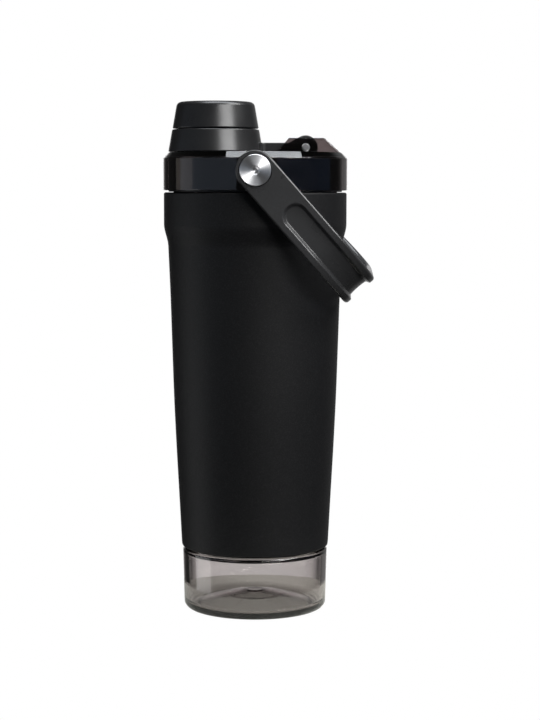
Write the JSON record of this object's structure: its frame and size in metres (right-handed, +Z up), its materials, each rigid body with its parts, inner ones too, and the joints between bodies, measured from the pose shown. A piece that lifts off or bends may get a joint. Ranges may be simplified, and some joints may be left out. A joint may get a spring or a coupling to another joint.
{
  "type": "protein shaker bottle",
  "caption": "Insulated shaker bottle with a screw-on lid, tethered spout cap, swing handle and a clear storage cup that screws into its base.",
  "frame": {"origin": "middle of the object's footprint, on the surface that it stands on; the bottle's own axis is the vertical line at x = -0.005973 m", "axes": "+Z up along the bottle; +X from the bottle towards the crossbar of the hanging handle; the handle's pivot runs along Y"},
  "size_m": [0.1032, 0.106, 0.2524],
  "materials": {
    "powder_coat": "matte black powder coat with a fine grain",
    "brushed_steel": "satin stainless steel, plain inside",
    "turned_steel": "turned stainless steel with fine rings",
    "black_plastic": "satin black moulded plastic",
    "core_plastic": "black moulded plastic",
    "smoked_lid": "dark smoked see-through plastic, glossy",
    "smoked_cup": "light smoked see-through plastic, glossy",
    "silicone": "matte silicone rubber",
    "acetal": "plain moulded acetal",
    "brass": "plain brass",
    "getter_metal": "dull sintered metal"
  },
  "bodies": {
    "bottle": {"outer_shell": "powder_coat", "inner_liner": "brushed_steel", "base_plate": "brushed_steel", "getter": "getter_metal", "base_socket": "black_plastic"},
    "lid_ring": {"lid_seal": "silicone"},
    "lid": {"lid_core": "core_plastic", "lid_shell": "smoked_lid", "mixing_grid": "core_plastic", "hinge_pin": "turned_steel", "insert_front": "brass", "insert_back": "brass", "pivot_washer_front": "acetal", "pivot_washer_back": "acetal", "handle_screw_front": "turned_steel", "handle_screw_back": "turned_steel"},
    "handle_arm": {"handle": "black_plastic", "handle_bush_front": "acetal", "handle_bush_back": "acetal"},
    "cap_tether": {"tether": "black_plastic"},
    "cap": {"cap_shell": "black_plastic", "cap_core": "core_plastic", "cap_seal": "silicone"},
    "cup_ring": {"cup_seal": "silicone"},
    "cup": {"storage_cup": "smoked_cup"}
  },
  "joints": [
    {"name": "lid_lift", "type": "slide", "parent": "bottle", "child": "lid_ring", "axis": [0, 0, 1], "range_m": [0, 0.0045]},
    {"name": "lid_turn", "type": "hinge", "parent": "lid_ring", "child": "lid", "pos_m": [-0.00597, 0, 0.215], "axis": [0, 0, 1], "range_deg": [0, 540]},
    {"name": "cup_drop", "type": "slide", "parent": "bottle", "child": "cup_ring", "axis": [0, 0, -1], "range_m": [0, 0.0045]},
    {"name": "cup_turn", "type": "hinge", "parent": "cup_ring", "child": "cup", "pos_m": [-0.00597, 0, 0.03], "axis": [0, 0, -1], "range_deg": [0, 540]},
    {"name": "handle_swing", "type": "hinge", "parent": "lid", "child": "handle_arm", "pos_m": [-0.00597, 0, 0.2185], "axis": [0, -1, 0], "range_deg": [0, 276]},
    {"name": "tether_swing", "type": "hinge", "parent": "lid", "child": "cap_tether", "pos_m": [0.01883, 0, 0.23015], "axis": [0, 1, 0], "range_deg": [0, 180]},
    {"name": "cap_turn", "type": "hinge", "parent": "cap_tether", "child": "cap", "pos_m": [-0.02557, 0, 0.24], "axis": [0, 0, 1], "range_deg": [-60, 0]}
  ],
  "couplings": [
    {"joint": "lid_lift", "follows": "lid_turn", "m_per_rad": 0.00047746},
    {"joint": "cup_drop", "follows": "cup_turn", "m_per_rad": 0.00047746}
  ]
}
